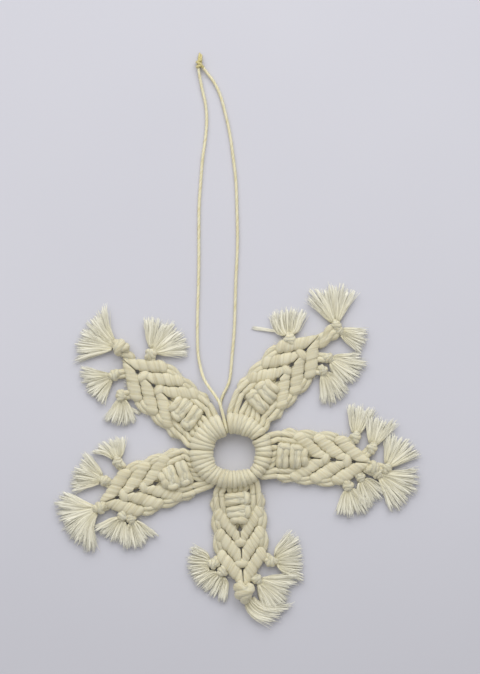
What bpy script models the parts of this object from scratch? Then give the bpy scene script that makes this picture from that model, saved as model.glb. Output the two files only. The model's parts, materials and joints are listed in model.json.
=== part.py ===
"""A macrame snowflake ornament, lying face up. A small ring is covered with cord hitches, five
knotted arms leave it and end in frayed tassels, and a thin thread makes its hanging loop.
Metres, +Z up. The origin is on the surface it lies on, under the middle of the snowflake
without its thread. Seen from above, +X is to the right and +Y points to the hanging loop."""

import math

import bmesh
import bpy
from mathutils import Matrix, Vector

mm = 0.001
gap = 0.3 * mm  # between pieces that touch
smallest_edge = 0.03 * mm  # shorter edges that a union leaves are closed up

# The ring and the hitches on it
core_radius = 10.8 * mm  # from the ring's middle to the middle of the cord inside it
core_thick = 3.5 * mm
core_oval = 0.7 * mm  # the ring is wider than it is tall by four times this
wrap_thick = 1.95 * mm  # a cord that is pressed flat where it goes round the ring
wrap_lean = 0.8 * mm  # the hitches are this much thicker toward the upper left
lean_angle = 141
wrap_groove = 0.5 * mm
stub_depth = wrap_groove + 0.5 * mm  # how far the strands that leave the ring start inside it
wraps_per_arm = 8
ring_sides = 8
floor_cut = 0.4 * mm  # the wraps rest on flats this deep

# The arms
root_room = 0.9 * mm  # from the ring's edge to the line that an arm folds on
fold_height = 2.7 * mm
strand_half = 1.1 * mm
knot_half = 4.6 * mm  # half the width of the square knots
knot_pitch = 2.3 * mm
knot_cord = 1.05 * mm
first_knot = 2.2 * mm  # from the fold to the first crossing cord
knot_arch = 1.85 * mm  # how far a crossing cord arches over the knots' middle height
knot_tilt = 0.35 * mm
filler_half = 3.2 * mm  # half the width of the cords that the square knots hold
filler_rise = 2.2 * mm  # half their height
edge_half = 8.2 * mm  # from an arm's middle to its first row's upper end
edge_growth = 0.8 * mm  # the later rows are this much wider to each side
row_half = 2.1 * mm  # half the width of a row of hitches
row_rise = 52  # degrees between a row and the line across the arm
tip_room = 7.5 * mm  # from the last square knot's middle to the tip of the first row
row_tip = first_knot + 3 * knot_pitch + tip_room  # from the fold
row_pitch = 7.7 * mm
row_hitches = 5
rib_groove = 0.45 * mm
strand_exit = 2.2 * mm  # from a row's upper end to where a strand leaves it for the next row
bar_sides = 6
fan_strands = 4
rest_depth = 0.05 * mm  # the rows rest on flats this deep
row_meet = 0.3 * row_half  # how far from the arm's middle a leg's middle line stops
last_tip = row_tip + 2 * row_pitch

# The hanging loop
thread_half = 0.6 * mm
thread_angle = 104.5  # where the thread goes round the ring
bight_leg = 6.0 * mm
hanger_knot_half = 1.7 * mm
hanger_tail = 4.4 * mm

# Each arm: where its hitches start and end round the ring, which way it points, how far its
# middle line passes from the ring's middle, and how much further out than the others it starts
arms = {
    "upper_right": (31, 98, 47.1, 5.85 * mm, 1.2 * mm),
    "upper_left": (111, 175, 139.5, 0.33 * mm, 0),
    "left": (177.5, 241, 200.2, 1.13 * mm, 0),
    "lower": (243.5, 313, 274, 0.64 * mm, 0),
    "right": (315.5, 388.5, 354.9, 0.35 * mm, 0),
}

# Each tassel: where its fan starts, in millimetres across and along its arm from the tip of the
# last row, which way it points from the arm's own direction, its length, half its spread and
# half its knot
tassels = {
    "upper_right": {
        "lower_side": (-12.0, -5.2, -107, 11.5, 29, 1.7),
        "middle_side": (-10.4, 0.8, -74, 12.0, 30, 1.7),
        "end_side": (-6.2, 11.0, -70, 9.5, 18, 1.5),
        "end": (0.8, 11.6, 50, 14.0, 42, 2.3),
        "upper_side": (9.3, -1.7, 63, 10.5, 36, 1.8),
    },
    "upper_left": {
        "upper_side": (-10.6, -2.5, -94, 12.0, 46, 1.9),
        "end": (0.8, 10.3, 8, 14.5, 50, 2.9),
        "lower_end_side": (8.8, 3.5, 68, 10.5, 44, 1.8),
        "lower_side": (12.4, -5.9, 132, 9.2, 30, 1.8),
    },
    "left": {
        "upper_side": (-14.4, -8.0, -105, 7.5, 26, 1.7),
        "upper_end_side": (-8.9, 0.8, -48, 9.3, 40, 1.8),
        "end": (-0.4, 7.4, 8, 13.5, 62, 2.5),
        "lower_end_side": (8.6, -1.0, 38, 9.3, 34, 1.8),
        "lower_side": (11.4, -5.4, 98, 9.6, 24, 1.7),
    },
    "lower": {
        "left_side": (-12.9, -6.1, -94, 8.3, 38, 1.8),
        "left_end_side": (-8.8, -1.1, -38, 9.5, 36, 1.8),
        "end": (1.7, 8.1, 50, 12.5, 13, 3.4),
        "right_end_side": (6.8, 2.2, 62, 12.0, 32, 1.7),
        "right_side": (13.2, -5.8, 98, 10.5, 42, 1.8),
    },
    "right": {
        "lower_side": (-11.2, -3.6, -72, 10.0, 30, 1.8),
        "lower_end_side": (-7.3, 1.2, -54, 9.0, 17, 1.6),
        "lower_end": (-4.7, 7.9, -27, 14.5, 33, 1.8),
        "upper_end": (0.7, 10.0, 66, 12.5, 28, 1.7),
        "upper_end_side": (7.9, 3.5, 77, 10.5, 22, 1.8),
        "upper_side": (11.4, -3.2, 88, 10.5, 23, 1.8),
    },
}

# The two strands of the hanging loop, from the ring to their knot: right, up and height,
# in millimetres from the ring's middle
left_strand = [
    (-4.15, 16.05, 6.15), (-4.8, 18.2, 6.0), (-6.2, 20.4, 5.1), (-10.2, 26.2, 2.6),
    (-12.0, 32.0, 1.3), (-12.8, 38.0, 0.7), (-12.9, 48.0, 0.65), (-12.6, 59.0, 0.65),
    (-12.4, 70.0, 0.65), (-12.4, 80.0, 0.65), (-12.3, 90.0, 0.65), (-11.7, 99.0, 0.65),
    (-11.0, 107.5, 0.65), (-9.9, 115.5, 0.65), (-9.5, 121.5, 0.65), (-9.9, 127.3, 0.65),
    (-11.2, 133.1, 0.75), (-12.2, 138.3, 1.0), (-12.6, 140.9, 1.3),
]
right_strand = [
    (-4.17, 16.1, 0.85), (-4.4, 18.0, 0.8), (-3.6, 20.6, 0.7), (-1.2, 26.0, 0.65),
    (-0.2, 34.7, 0.65), (0.7, 46.5, 0.65), (1.2, 63.0, 0.65), (1.6, 70.6, 0.65),
    (1.8, 78.8, 0.65), (1.6, 89.1, 0.65), (1.2, 99.4, 0.65), (0.2, 108.1, 0.65),
    (-0.9, 115.8, 0.65), (-2.4, 123.0, 0.65), (-4.5, 130.7, 0.65), (-7.0, 135.8, 0.75),
    (-9.7, 139.3, 1.0), (-10.8, 140.9, 1.3),
]
strand_points = 38


def material(name, red, green, blue):
    made = bpy.data.materials.new(name)
    made.use_nodes = True
    finish = made.node_tree.nodes["Principled BSDF"]
    finish.inputs["Base Color"].default_value = (red, green, blue, 1)
    finish.inputs["Roughness"].default_value = 0.9
    finish.inputs["Metallic"].default_value = 0
    made.diffuse_color = (red, green, blue, 1)
    return made


def empty(name, parent, place, turn=0.0):
    """A frame turned about +Z, in degrees."""
    frame = bpy.data.objects.new(name, None)
    bpy.context.scene.collection.objects.link(frame)
    frame.parent = parent
    frame.location = place
    frame.rotation_euler.z = math.radians(turn)
    return frame


def solid(name, mesh, parent, finish):
    """An object that shows the mesh, shaded smooth between its sharp edges."""
    if not mesh.materials:
        mesh.materials.append(finish)
        mesh.shade_smooth()
        mesh.set_sharp_from_angle(angle=math.radians(50))
    made = bpy.data.objects.new(name, mesh)
    bpy.context.scene.collection.objects.link(made)
    made.parent = parent
    return made


def polar(angle, radius, height=0.0):
    turn = math.radians(angle)
    return Vector((radius * math.cos(turn), radius * math.sin(turn), height))


def mesh_of(name, shape):
    made = bpy.data.meshes.new(name)
    shape.to_mesh(made)
    shape.free()
    return made


def lofted(rings):
    """A closed solid through rings of points, which all have the same count."""
    shape = bmesh.new()
    loops = [[shape.verts.new(point) for point in ring] for ring in rings]
    for near, far in zip(loops, loops[1:]):
        for i in range(len(near)):
            j = (i + 1) % len(near)
            shape.faces.new((near[i], near[j], far[j], far[i]))
    shape.faces.new(reversed(loops[0]))
    shape.faces.new(loops[-1])
    bmesh.ops.recalc_face_normals(shape, faces=shape.faces)
    return shape


def tube(path, sizes, sides=8, level=Vector((0, 0, 1))):
    """A solid along a path, with a half width and a half height at each point of it. Its
    lowest side is flat."""
    rings = []
    for i, point in enumerate(path):
        ahead = (path[min(i + 1, len(path) - 1)] - path[max(i - 1, 0)]).normalized()
        across = ahead.cross(level).normalized()
        up = across.cross(ahead)
        ring = []
        for k in range(sides):
            turn = math.radians(-90 + (k + 0.5) * 360 / sides)
            wide, tall = sizes[i]
            ring.append(point + across * wide * math.cos(turn) + up * tall * math.sin(turn))
        rings.append(ring)
    return lofted(rings)


def ball(centre, half, flat=0.92, sides=7):
    """A rounded knot, a little lower than it is wide."""
    shape = bmesh.new()
    placed = Matrix.Translation(centre) @ Matrix.Diagonal((half, half, half * flat, 1))
    bmesh.ops.create_uvsphere(shape, u_segments=sides, v_segments=4, radius=1, matrix=placed)
    return shape


def remove_crumbs(shape):
    """Keeps the largest of a mesh's separate bodies. The others are specks that a union left."""
    waiting = set(shape.verts)
    bodies = []
    while waiting:
        body = [waiting.pop()]
        for vertex in body:
            for edge in vertex.link_edges:
                other = edge.other_vert(vertex)
                if other in waiting:
                    waiting.remove(other)
                    body.append(other)
        bodies.append(body)
    bodies.sort(key=len)
    for body in bodies[:-1]:
        bmesh.ops.delete(shape, geom=body, context="VERTS")


def fused(name, shapes):
    """One mesh from shapes that overlap, made by Boolean unions."""
    helpers = []
    for shape in shapes:
        helper = bpy.data.objects.new(name, mesh_of(name + "_helper", shape))
        bpy.context.scene.collection.objects.link(helper)
        helpers.append(helper)
    body = helpers[0]
    for helper in helpers[1:]:
        join = body.modifiers.new("Join", "BOOLEAN")
        join.operation = "UNION"
        join.solver = "EXACT"
        join.object = helper
    graph = bpy.context.evaluated_depsgraph_get()
    made = bpy.data.meshes.new_from_object(body.evaluated_get(graph))
    made.name = name
    shape = bmesh.new()
    shape.from_mesh(made)
    bmesh.ops.remove_doubles(shape, verts=shape.verts, dist=smallest_edge)
    bmesh.ops.dissolve_degenerate(shape, edges=shape.edges, dist=smallest_edge / 2)
    bmesh.ops.holes_fill(shape, edges=shape.edges, sides=4)
    remove_crumbs(shape)
    bmesh.ops.recalc_face_normals(shape, faces=shape.faces)
    shape.to_mesh(made)
    shape.free()
    for helper in helpers:
        mesh = helper.data
        bpy.data.objects.remove(helper)
        bpy.data.meshes.remove(mesh)
    return made


def rest_on(mesh, floor):
    """Flattens what reaches below the surface that the ornament lies on."""
    for vertex in mesh.vertices:
        vertex.co.z = max(vertex.co.z, floor)
    return mesh


# The ring: its cord core, and the hitches of each arm's four folded cords


wrap_half = core_thick / 2 + gap + wrap_thick
ring_height = wrap_half * math.cos(math.pi / ring_sides) - floor_cut / 2


def core_path(angle):
    return core_radius + core_oval * math.cos(math.radians(2 * angle))


def lean(angle):
    return wrap_lean * math.cos(math.radians(angle - lean_angle))


def ring_edge(angle):
    return core_path(angle) + wrap_half + lean(angle)


def ring_section(angle, half_across, half_up, sides):
    """Points round the ring's section at this angle."""
    points = []
    for k in range(sides):
        turn = math.radians(-90 + (k + 0.5) * 360 / sides)
        out = core_path(angle) + half_across * math.cos(turn)
        points.append(polar(angle, out, half_up * math.sin(turn)))
    return points


def core_ring(parent, finish):
    shape = bmesh.new()
    half = core_thick / 2
    steps = 32
    loops = []
    for i in range(steps):
        section = ring_section(i * 360 / steps, half, half, ring_sides)
        loops.append([shape.verts.new(point) for point in section])
    for near, far in zip(loops, loops[1:] + loops[:1]):
        for i in range(ring_sides):
            j = (i + 1) % ring_sides
            shape.faces.new((near[i], near[j], far[j], far[i]))
    bmesh.ops.recalc_face_normals(shape, faces=shape.faces)
    return solid("core_ring", mesh_of("core_ring", shape), parent, finish)


def hitch_sleeve(start, end):
    """The wraps of one arm's hitches, side by side, with a bore for the core."""
    shape = bmesh.new()
    pitch = (end - start) / wraps_per_arm
    outer = []
    for i in range(wraps_per_arm):
        outer += [(start + i * pitch, wrap_groove), (start + (i + 0.25) * pitch, 0)]
        outer += [(start + (i + 0.75) * pitch, 0)]
    outer.append((end, wrap_groove))
    loops = []
    for angle, groove in outer:
        across = wrap_half + lean(angle) - groove
        section = ring_section(angle, across, wrap_half - groove, ring_sides)
        loops.append([shape.verts.new(point) for point in section])
    bores = []
    bore = core_thick / 2 + gap
    for i in range(wraps_per_arm + 1):
        section = ring_section(start + i * pitch, bore, bore, ring_sides)
        bores.append([shape.verts.new(point) for point in section])
    for rows in (loops, bores):
        for near, far in zip(rows, rows[1:]):
            for i in range(ring_sides):
                j = (i + 1) % ring_sides
                shape.faces.new((near[i], near[j], far[j], far[i]))
    for outside, inside in ((loops[0], bores[0]), (loops[-1], bores[-1])):
        for i in range(ring_sides):
            j = (i + 1) % ring_sides
            shape.faces.new((outside[i], outside[j], inside[j], inside[i]))
    bmesh.ops.recalc_face_normals(shape, faces=shape.faces)
    return shape


def fold_out(direction, extra):
    """How far from the ring's middle an arm's fold line passes."""
    return ring_edge(direction) + root_room + extra


def rounded_end(path, half, first=1.0):
    """Half sizes along a path whose last point is the middle of a rounded tip."""
    shares = [first] + [1.0] * (len(path) - 3) + [0.78, 0.3]
    return [(half * share, half * share) for share in shares]


def ring_hitches(name, parent, finish):
    """The hitches, and the strands that reach from them to the arm's fold line."""
    start, end, direction, aside, extra = arms[name]
    shapes = [hitch_sleeve(start, end)]
    pitch = (end - start) / wraps_per_arm
    along = polar(direction, 1)
    left = polar(direction + 90, 1)
    fold = along * fold_out(direction, extra) + left * aside
    drop = Vector((0, 0, fold_height - ring_height))
    for share, wrap in ((-1, 0.5), (-0.22, 3), (0.22, 5), (1, 7.5)):
        tip = fold + left * share * (edge_half - strand_half / 2) + drop - along * gap / 2
        angle = start + wrap * pitch
        root = polar(angle, ring_edge(angle) - stub_depth, drop.z / 2)
        if abs(share) < 1:
            offset = tip.dot(left)
            root = tip + along * (math.sqrt(ring_edge(direction) ** 2 - offset**2) - stub_depth)
            root -= along * tip.dot(along)
        path = [root, tip - along * 0.75 * mm, tip - along * 0.3 * mm, tip]
        shapes.append(tube(path, rounded_end(path, strand_half, 0.5), sides=6))
    mesh = rest_on(fused(name + "_ring_hitches", shapes), -ring_height)
    return solid(name + "_ring_hitches", mesh, parent, finish)


# The arms. Their own frame has +Y along the arm from its fold, and +X to the right of it


def row_start(row):
    """The upper right end of a row of hitches, on the middle line of the row."""
    across = edge_half + (edge_growth if row else 0)
    tip = row_tip + row * row_pitch
    rise = math.tan(math.radians(row_rise))
    return Vector((across, tip - (across - row_meet) * rise, 0))


def row_axis(row, side):
    """One leg's middle line: its upper end, its end at the arm's middle, and its outer side's
    direction."""
    start = row_start(row)
    slope = math.radians(row_rise)
    length = (start.x - row_meet) / math.cos(slope)
    end = start + Vector((-math.cos(slope), math.sin(slope), 0)) * length
    mirror = Vector((side, 1, 1))
    return start * mirror, end * mirror, Vector((math.sin(slope), math.cos(slope), 0)) * mirror


def bar_height():
    """The height of a row's middle line over the surface that it rests on."""
    return row_half * math.cos(math.pi / bar_sides) - rest_depth


def inner_edge(along):
    """How far to the side the first row's inner edge is, at this distance from the fold."""
    start = row_start(0)
    slope = math.radians(row_rise)
    return start.x - (along - start.y) / math.tan(slope) - row_half / math.sin(slope)


def square_knots():
    """Two square knots: four cords that cross over their two straight ones."""
    low = -fold_height
    middle = filler_rise + 0.25 * mm + low
    last = 3 * knot_pitch + first_knot
    stations = [
        (gap / 2, 0.19, 0.14), (0.23 * first_knot, 0.5, 0.41), (0.55 * first_knot, 0.91, 0.82),
        (1.09 * first_knot, 1.0, 1.0), (last - 1.13 * knot_pitch, 0.94, 1.0), (last, 0.53, 0.86),
        (last + 0.61 * knot_pitch, 0.25, 0.5),
    ]
    path = [Vector((0, y, middle if tall > 0.8 else middle / 2)) for y, _, tall in stations]
    sizes = [(wide * filler_half, tall * filler_rise) for _, wide, tall in stations]
    shapes = [tube(path, sizes)]
    for i in range(4):
        along = first_knot + i * knot_pitch
        tilt = -knot_tilt if i % 2 else knot_tilt
        room = inner_edge(along + knot_cord + knot_tilt) - gap - knot_cord
        reach = min(knot_half - knot_cord, room)
        path = []
        for turn in range(-20, 201, 44):
            side = math.cos(math.radians(turn))
            lift = 0.15 * mm + knot_arch * math.sin(math.radians(turn))
            path.append(Vector((reach * side, along + tilt * side, middle + lift)))
        sizes = [(knot_cord, knot_cord)] * len(path)
        shapes.append(tube(path, sizes, sides=6, level=Vector((0, 1, 0))))
    return rest_on(fused("square_knots", shapes), low)


def row_bar(row, side):
    """One leg of a row: the strand that comes in at its edge, then its hitches as ribs."""
    start = row_start(row)
    slope = math.radians(row_rise)
    ahead = Vector((-math.cos(slope), math.sin(slope), 0))
    outward = Vector((math.sin(slope), math.cos(slope), 0))
    base = bar_height() - fold_height
    if row == 0:
        strand = edge_half - strand_half / 2
        path = [
            Vector((strand, gap / 2, 0)), Vector((strand, 1.5 * gap, 0)),
            Vector((strand + 0.1 * mm, 3 * gap, 0)),
            Vector((strand + 0.8 * strand_half, 0.43 * start.y, base * 0.4)),
            Vector((strand + strand_half, start.y - 0.9 * row_half, base * 0.8)),
        ]
        sizes = rounded_end(path, strand_half)[::-1]
    else:
        before = row_start(row - 1)
        away = row_half + strand_half + gap + 0.1 * mm
        first = before + ahead * strand_exit + outward * away
        path = [first, (first + start) / 2 + Vector((0.7 * mm, -0.2 * mm, 0))]
        path = [point + Vector((0, 0, base - 0.3 * mm)) for point in path]
        sizes = [(strand_half * 0.6, strand_half * 0.6), (strand_half, strand_half)]
    length = (start.x - row_meet) / math.cos(slope)
    for i in range(2 * row_hitches + 1):
        path.append(start + ahead * length * i / (2 * row_hitches) + Vector((0, 0, base)))
        half = row_half if i % 2 else row_half - rib_groove
        sizes.append((half, half))
    path.append(path[-1] + ahead * 0.8 * mm)
    sizes.append((row_half * 0.5, row_half * 0.5))
    path = [Vector((point.x * side, point.y, point.z)) for point in path]
    return tube(path, sizes, sides=bar_sides)


def chevron_row(row):
    """A row of hitches that runs down from both edges to the arm's middle, with the hitch
    that closes it."""
    shapes = [row_bar(row, 1), row_bar(row, -1)]
    if row < 2:
        slope = math.radians(row_rise)
        room = row_pitch + row_meet * math.tan(slope) - row_half / math.cos(slope)
        half = room * math.cos(slope) / (1 + math.cos(slope)) - gap
        centre = Vector((0, row_tip + row * row_pitch + half + gap, bar_height() - fold_height))
        shapes.append(ball(centre, half, flat=1.0, sides=6))
    return rest_on(fused("chevron_row", shapes), -fold_height)


def fan(root, turn, length, spread, neck, low):
    """Frayed strands that spread from a root over the surface, as one wedge with a ridge for
    each strand and uneven tips."""
    columns = 2 * fan_strands + 1
    shape = bmesh.new()
    rows = []
    for share, ridge, valley in ((0.0, 2.2, 2.0), (0.55, 2.6, 2.0), (1.0, 1.5, 0.8)):
        row = []
        for i in range(columns):
            across = 2 * i / (columns - 1) - 1
            angle = math.radians(turn + across * spread)
            crest = i % 2 == 1
            reach = length * share
            if share == 1:
                reach *= 0.9 + 0.1 * math.sin(2.4 * i + turn) if crest else 0.74
            aside = Vector((-math.cos(math.radians(turn)), -math.sin(math.radians(turn)), 0))
            start = root + aside * across * neck
            height = low + (ridge if crest else valley) * mm
            row.append(start + Vector((-math.sin(angle), math.cos(angle), 0)) * reach)
            row[-1].z = height
        rows.append(row)
    top = [[shape.verts.new(point) for point in row] for row in rows]
    for near, far in zip(top, top[1:]):
        for i in range(columns - 1):
            shape.faces.new((near[i], near[i + 1], far[i + 1], far[i]))
    rim = top[0] + [row[-1] for row in top[1:-1]] + top[-1][::-1] + [row[0] for row in top[-2:0:-1]]
    base = [shape.verts.new((vertex.co.x, vertex.co.y, low)) for vertex in rim]
    for i in range(len(rim)):
        j = (i + 1) % len(rim)
        shape.faces.new((rim[i], rim[j], base[j], base[i]))
    shape.faces.new(base)
    bmesh.ops.recalc_face_normals(shape, faces=shape.faces)
    return shape


def neck(centre, half, low):
    """The cord from the last row's outer side to a tassel's knot, if the knot isn't beside it."""
    side = -1 if centre.x < 0 else 1
    start, end, outward = row_axis(2, side)
    run = end - start
    flat_centre = Vector((centre.x, centre.y, 0))
    share = (flat_centre - start).dot(run) / run.length_squared
    if share > 1 and abs(centre.x) < strand_half:
        outward = Vector((0, 1, 0))
        seat = Vector((centre.x * 0.5, end.y + row_half * 0.7 + gap, 0))
    else:
        seat = start.lerp(end, min(max(share, 0.1), 1)) + outward * (row_half + gap)
    if (flat_centre - seat).dot(outward) < half:
        return []
    level = Vector((0, 0, low + strand_half * 0.85))
    path = [seat + level, seat + outward * 0.4 * mm + level, Vector((centre.x, centre.y, level.z))]
    return [tube(path, [(strand_half, strand_half)] * 3, sides=6)]


def tassel(arm, name, place, parent, finish):
    across, along, turn, length, spread, knot = place
    low = -fold_height
    root = Vector((-across * mm, last_tip + along * mm, 0))
    half = knot * mm
    ahead = Vector((-math.sin(math.radians(turn)), math.cos(math.radians(turn)), 0))
    centre = root - ahead * half * 0.8
    centre.z = low + half * 0.85
    shapes = [ball(centre, half)] + neck(centre, half, low)
    shapes.append(fan(root, turn, length * mm, spread, strand_half, low))
    mesh = rest_on(fused(f"{arm}_tassel_{name}", shapes), low)
    return solid(f"{arm}_tassel_{name}", mesh, parent, finish)


# The hanging loop


def smooth_route(points, count):
    """Evenly spaced points on a smooth curve through hand-chosen ones."""
    knots = [Vector(point) * mm for point in points]
    knots = [2 * knots[0] - knots[1]] + knots + [2 * knots[-1] - knots[-2]]
    fine = []
    for a, b, c, d in zip(knots, knots[1:], knots[2:], knots[3:]):
        for i in range(20):
            t = i / 20
            fine.append(
                0.5 * (2 * b + (c - a) * t + (2 * a - 5 * b + 4 * c - d) * t * t
                       + (3 * b - a - 3 * c + d) * t * t * t)
            )
    fine.append(knots[-2])
    travelled = [0.0]
    for before, after in zip(fine, fine[1:]):
        travelled.append(travelled[-1] + (after - before).length)
    spaced = []
    j = 0
    for i in range(count):
        wanted = travelled[-1] * i / (count - 1)
        while j < len(fine) - 2 and travelled[j + 1] < wanted:
            j += 1
        share = (wanted - travelled[j]) / (travelled[j + 1] - travelled[j])
        spaced.append(fine[j].lerp(fine[j + 1], share))
    return spaced


def thread(name, points, parent, finish):
    """A round thread along these points."""
    line = bpy.data.curves.new(name, "CURVE")
    line.dimensions = "3D"
    line.bevel_depth = thread_half
    line.bevel_resolution = 2
    line.use_fill_caps = True
    spline = line.splines.new("POLY")
    spline.points.add(len(points) - 1)
    for place, point in zip(spline.points, points):
        place.co = (*point, 1)
    line.materials.append(finish)
    made = bpy.data.objects.new(name, line)
    bpy.context.scene.collection.objects.link(made)
    made.parent = parent
    return made


def bight_path():
    """Round the ring's core in the gap between two arms' hitches, in the ring's frame."""
    around = core_thick / 2 + gap + thread_half
    out = core_path(thread_angle)
    points = [polar(thread_angle, out + bight_leg, around)]
    for turn in range(90, 271, 20):
        reach = around * math.cos(math.radians(turn))
        points.append(polar(thread_angle, out + reach, around * math.sin(math.radians(turn))))
    points.append(polar(thread_angle, out + bight_leg, -around))
    return points


def hanging_loop(ring, finish):
    """All of it swings on the ring's core, so its parent frame is there."""
    hinge = polar(thread_angle, core_path(thread_angle))
    frame = empty("hanger_hinge", ring, hinge, thread_angle - 90)
    turned = Matrix.Rotation(math.radians(thread_angle - 90), 4, "Z")
    to_frame = (Matrix.Translation(hinge) @ turned).inverted()
    down = Vector((0, 0, -ring_height))
    thread("hanger_bight", [to_frame @ point for point in bight_path()], frame, finish)
    ends = []
    for name, route in (("left", left_strand), ("right", right_strand)):
        points = smooth_route(route, strand_points)
        ends.append(points[-1])
        thread(f"hanger_thread_{name}", [to_frame @ (p + down) for p in points], frame, finish)
    middle = (ends[0] + ends[1]) / 2
    centre = Vector((middle.x, middle.y + hanger_knot_half + gap, hanger_knot_half * 0.85)) + down
    tail = [centre + Vector((0.16, 1, -0.18)) * hanger_tail * share for share in (0, 0.55, 1)]
    shapes = [ball(centre, hanger_knot_half), tube(tail, [(thread_half, thread_half)] * 3)]
    mesh = rest_on(fused("hanger_knot", shapes), -ring_height)
    mesh.transform(to_frame)
    return solid("hanger_knot", mesh, frame, finish)


def build_arm(name, ring, shared, finish):
    start, end, direction, aside, extra = arms[name]
    fold = polar(direction, fold_out(direction, extra)) + polar(direction + 90, aside)
    fold.z = fold_height - ring_height
    frame = empty(f"{name}_fold", ring, fold, direction - 90)
    solid(f"{name}_square_knots", shared["knots"], frame, finish)
    for row in range(3):
        solid(f"{name}_chevron_row_{row + 1}", shared["rows"][row], frame, finish)
    for part, place in tassels[name].items():
        tassel(name, part, place, frame, finish)


def centre_under(root):
    """Moves the ring's frame so that the snowflake's middle is at the origin, then says where
    the frames came to be."""
    bpy.context.view_layer.update()
    places = []
    for item in bpy.context.scene.objects:
        if item.type == "MESH" and not item.name.startswith("hanger"):
            places += [item.matrix_world @ vertex.co for vertex in item.data.vertices]
    for axis in (0, 1):
        values = [place[axis] for place in places]
        root.location[axis] -= (min(values) + max(values)) / 2
    bpy.context.view_layer.update()
    for item in bpy.context.scene.objects:
        if item.type == "EMPTY":
            place = [round(1000 * value, 3) for value in item.matrix_world.translation]
            axis = [round(value, 5) for value in item.matrix_world.to_3x3().col[0]]
            print(item.name, "is at", place, "mm, and its hinge's axis is", axis)


def main():
    for item in list(bpy.data.objects):
        bpy.data.objects.remove(item)
    cotton = material("cotton_cord", 0.72, 0.66, 0.50)
    inner = material("core_cord", 0.60, 0.54, 0.40)
    gold = material("hanging_thread", 0.70, 0.58, 0.30)
    ring = empty("ring_frame", None, (0, 0, ring_height))
    core_ring(ring, inner)
    shared = {"knots": square_knots(), "rows": [chevron_row(row) for row in range(3)]}
    for name in arms:
        ring_hitches(name, ring, cotton)
        build_arm(name, ring, shared, cotton)
    hanging_loop(ring, gold)
    centre_under(ring)


main()
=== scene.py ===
"""The looks of the macrame snowflake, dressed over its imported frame. Where nothing else is said,
sizes are millimetres and angles degrees. The ring and the hanging loop are made round the ring's
middle, and each arm in a frame of its own: +X to its right, +Y outwards from its fold, +Z up."""

import json
import math
import random
from collections import namedtuple

import bmesh
import bpy
from mathutils import Matrix, Vector


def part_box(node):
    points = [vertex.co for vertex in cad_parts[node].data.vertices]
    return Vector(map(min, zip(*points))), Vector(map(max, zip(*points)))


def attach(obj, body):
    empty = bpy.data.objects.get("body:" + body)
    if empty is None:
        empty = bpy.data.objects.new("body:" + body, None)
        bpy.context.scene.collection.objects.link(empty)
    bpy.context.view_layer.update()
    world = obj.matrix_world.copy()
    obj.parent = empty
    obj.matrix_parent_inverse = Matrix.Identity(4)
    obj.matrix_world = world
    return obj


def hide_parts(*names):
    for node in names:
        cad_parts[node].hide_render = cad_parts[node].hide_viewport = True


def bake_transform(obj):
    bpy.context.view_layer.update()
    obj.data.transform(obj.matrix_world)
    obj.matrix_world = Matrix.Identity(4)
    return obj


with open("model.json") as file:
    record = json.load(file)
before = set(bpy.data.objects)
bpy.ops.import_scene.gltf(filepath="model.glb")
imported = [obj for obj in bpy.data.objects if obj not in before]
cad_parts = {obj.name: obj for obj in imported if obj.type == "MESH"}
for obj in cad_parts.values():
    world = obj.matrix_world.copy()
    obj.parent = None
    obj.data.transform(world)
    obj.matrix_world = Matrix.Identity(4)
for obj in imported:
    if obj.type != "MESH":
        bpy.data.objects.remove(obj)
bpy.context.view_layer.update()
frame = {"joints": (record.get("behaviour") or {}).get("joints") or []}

mm = 0.001
up = Vector((0, 0, 1))

# These sizes are the same as in the CAD
core_radius = 10.8
core_oval = 0.7
core_half = 1.75
wrap_half = 4.0
wrap_lean = 0.8
lean_angle = 141
wraps_per_arm = 8
fold_height = 2.7
strand_half = 1.1
edge_half = 8.2
edge_growth = 0.8
row_half = 2.1
row_height = 1.77
row_rise = 52
row_meet = 0.63
row_tip = 16.6
row_pitch = 7.7
thread_half = 0.6
thread_angle = 104.5
bight_leg = 6.0

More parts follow.
